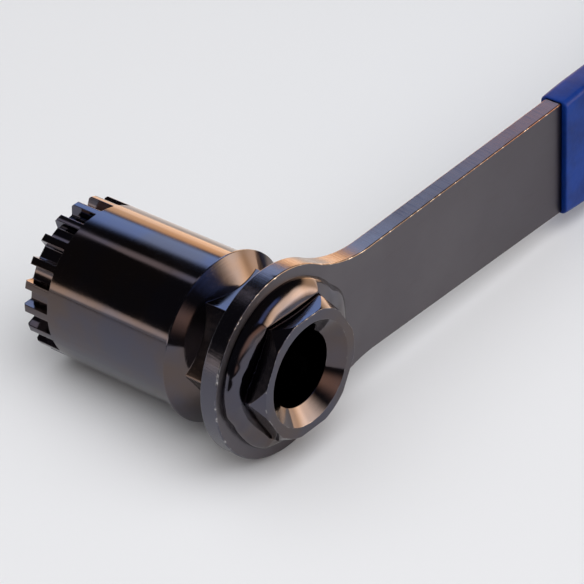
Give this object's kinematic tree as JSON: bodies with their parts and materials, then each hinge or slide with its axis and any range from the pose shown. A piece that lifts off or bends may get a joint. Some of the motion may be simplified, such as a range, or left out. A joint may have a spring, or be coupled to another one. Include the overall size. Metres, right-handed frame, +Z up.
{
  "type": "bottom bracket tool",
  "caption": "Hand tool for a bicycle bottom bracket: hollow splined socket with a flange, welded through the eye of a flat steel handle that ends in a dipped vinyl grip",
  "frame": {"origin": "on the tool axis, in the plane of the handle plate's nose-side face", "axes": "+X along the handle towards the grip, +Y along the tool axis towards the splines, +Z up"},
  "size_m": [0.2259, 0.059, 0.039],
  "materials": {
    "socket_plating": "dark bright plating",
    "plate_plating": "dark satin plating",
    "bead_plating": "dark bright plating over weld",
    "grip_vinyl": "soft dipped vinyl"
  },
  "bodies": {
    "root": {"spline_socket": "socket_plating", "handle_plate": "plate_plating", "weld_bead": "bead_plating", "grip_sleeve": "grip_vinyl"}
  },
  "joints": []
}
